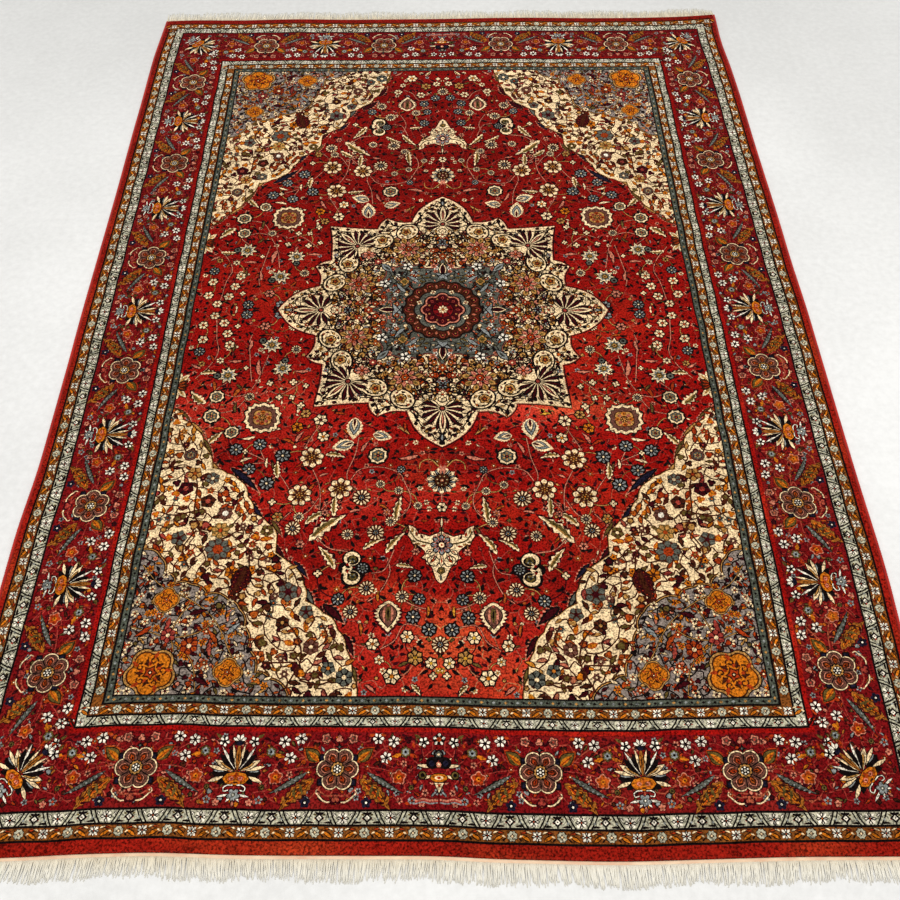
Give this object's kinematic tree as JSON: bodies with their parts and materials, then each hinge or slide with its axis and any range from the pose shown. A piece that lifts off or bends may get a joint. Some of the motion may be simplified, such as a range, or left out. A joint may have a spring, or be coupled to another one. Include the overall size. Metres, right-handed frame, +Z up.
{
  "type": "persian rug",
  "caption": "Large flat hand-knotted Persian rug with a floral medallion and borders, bound long sides and a cotton fringe on both ends; it lies flat on a floor.",
  "frame": {"origin": "middle of the rug's bounding box, on the floor that it lies on", "axes": "+X across the rug, +Y along its length, +Z up out of the pile"},
  "size_m": [2.0288, 2.9198, 0.0158],
  "materials": {
    "wool_pile": "knotted wool pile, madder red ground with a floral design",
    "selvedge_wool": "overcast wool binding, plain red",
    "fringe_cotton": "undyed cotton warp, cream"
  },
  "bodies": {
    "root": {"rug": "wool_pile", "selvedge_left": "selvedge_wool", "selvedge_right": "selvedge_wool", "fringe_near": "fringe_cotton", "fringe_far": "fringe_cotton"}
  },
  "joints": []
}
